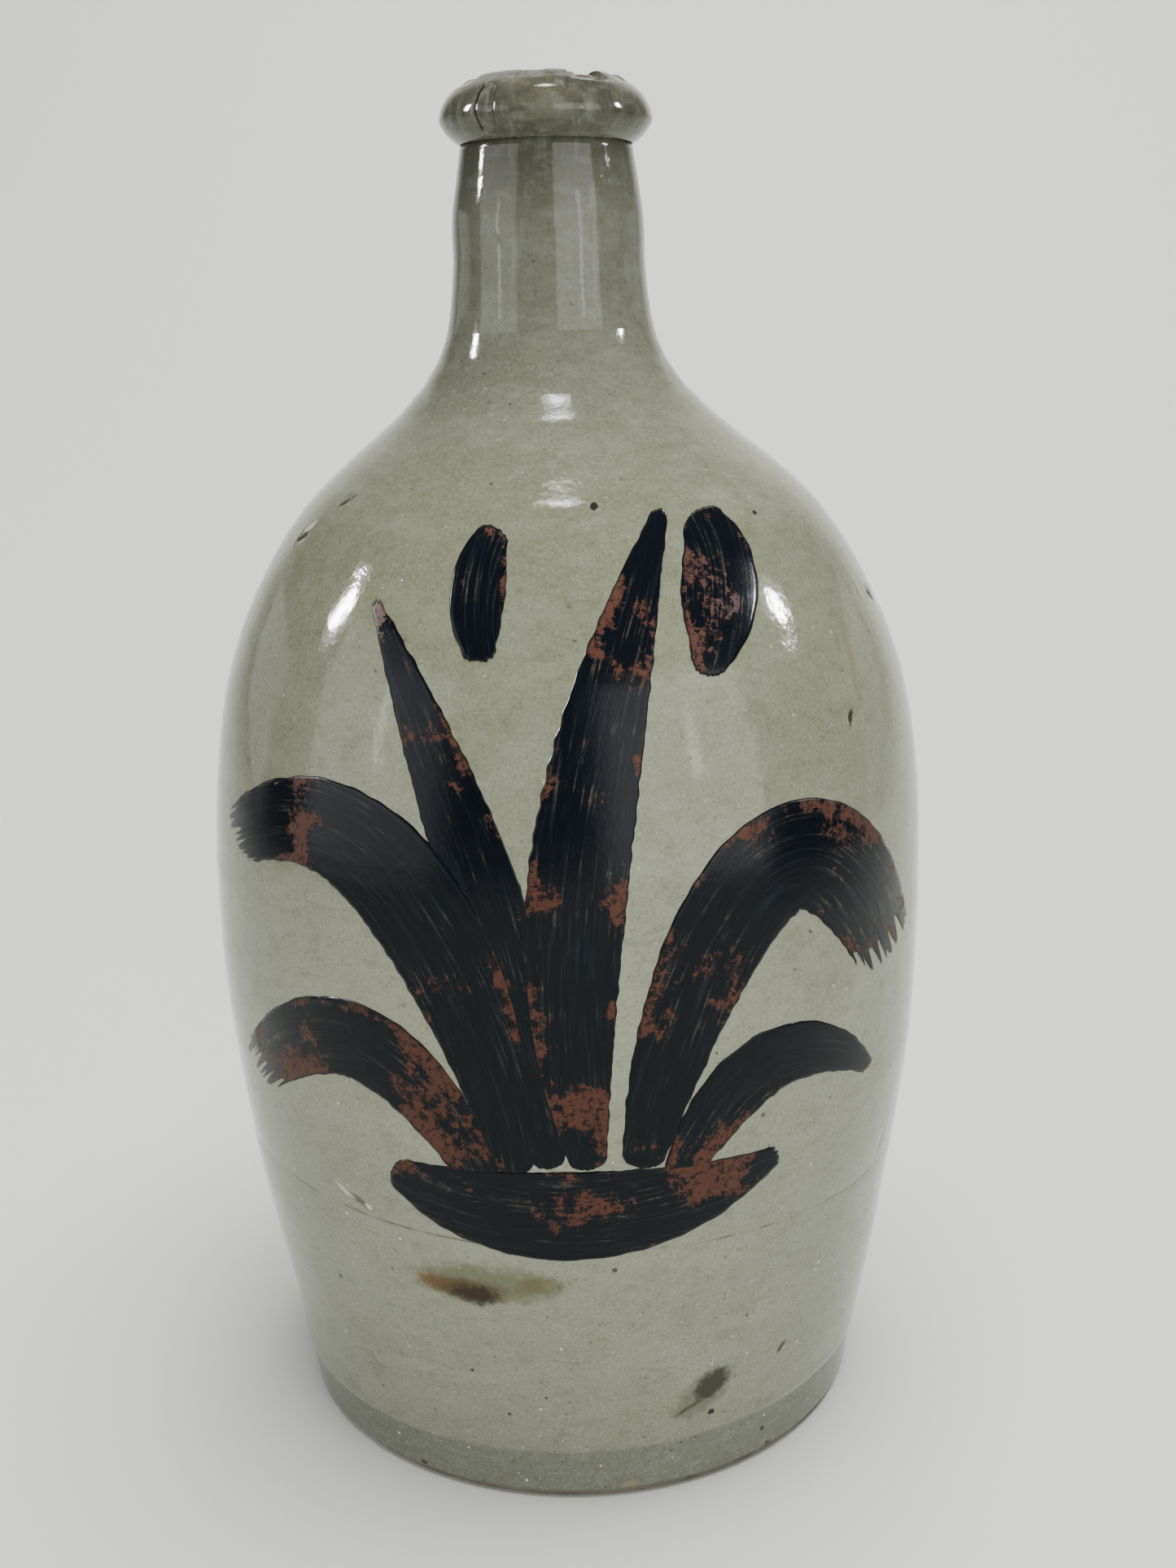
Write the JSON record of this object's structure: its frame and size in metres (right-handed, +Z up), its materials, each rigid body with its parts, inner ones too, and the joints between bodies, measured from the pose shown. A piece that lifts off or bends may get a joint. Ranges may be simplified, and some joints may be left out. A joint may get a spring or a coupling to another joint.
{
  "type": "stoneware sake bottle",
  "caption": "Tall ovoid stoneware sake bottle with a narrow neck, rolled collar, low foot band, grey-green glaze and brushed iron grass blades.",
  "frame": {"origin": "centre of the foot's standing edge, on the surface the bottle stands on", "axes": "+Z up along the bottle's axis towards the mouth, the brushed front faces -Y, +X to the right seen from the front"},
  "size_m": [0.145, 0.1453, 0.2648],
  "materials": {
    "clay": "unglazed fired stoneware, fine grit, matt",
    "glaze": "glossy grey-green ash glaze, finely speckled",
    "iron_pigment": "glossy blue-black iron with matt rust-brown breaks"
  },
  "bodies": {
    "root": {"base_disc": "clay", "foot_band": "clay", "lower_wall": "clay", "belly_wall": "clay", "shoulder_wall": "clay", "neck_tube": "clay", "lip_collar": "clay", "glaze_coat": "glaze", "glaze_lining": "glaze", "blade_short": "iron_pigment", "blade_tall": "iron_pigment", "blade_left": "iron_pigment", "blade_right": "iron_pigment", "blade_low_left": "iron_pigment", "blade_low_right": "iron_pigment", "ground_stroke": "iron_pigment", "bud_dab": "iron_pigment", "seed_dab": "iron_pigment"}
  },
  "joints": []
}
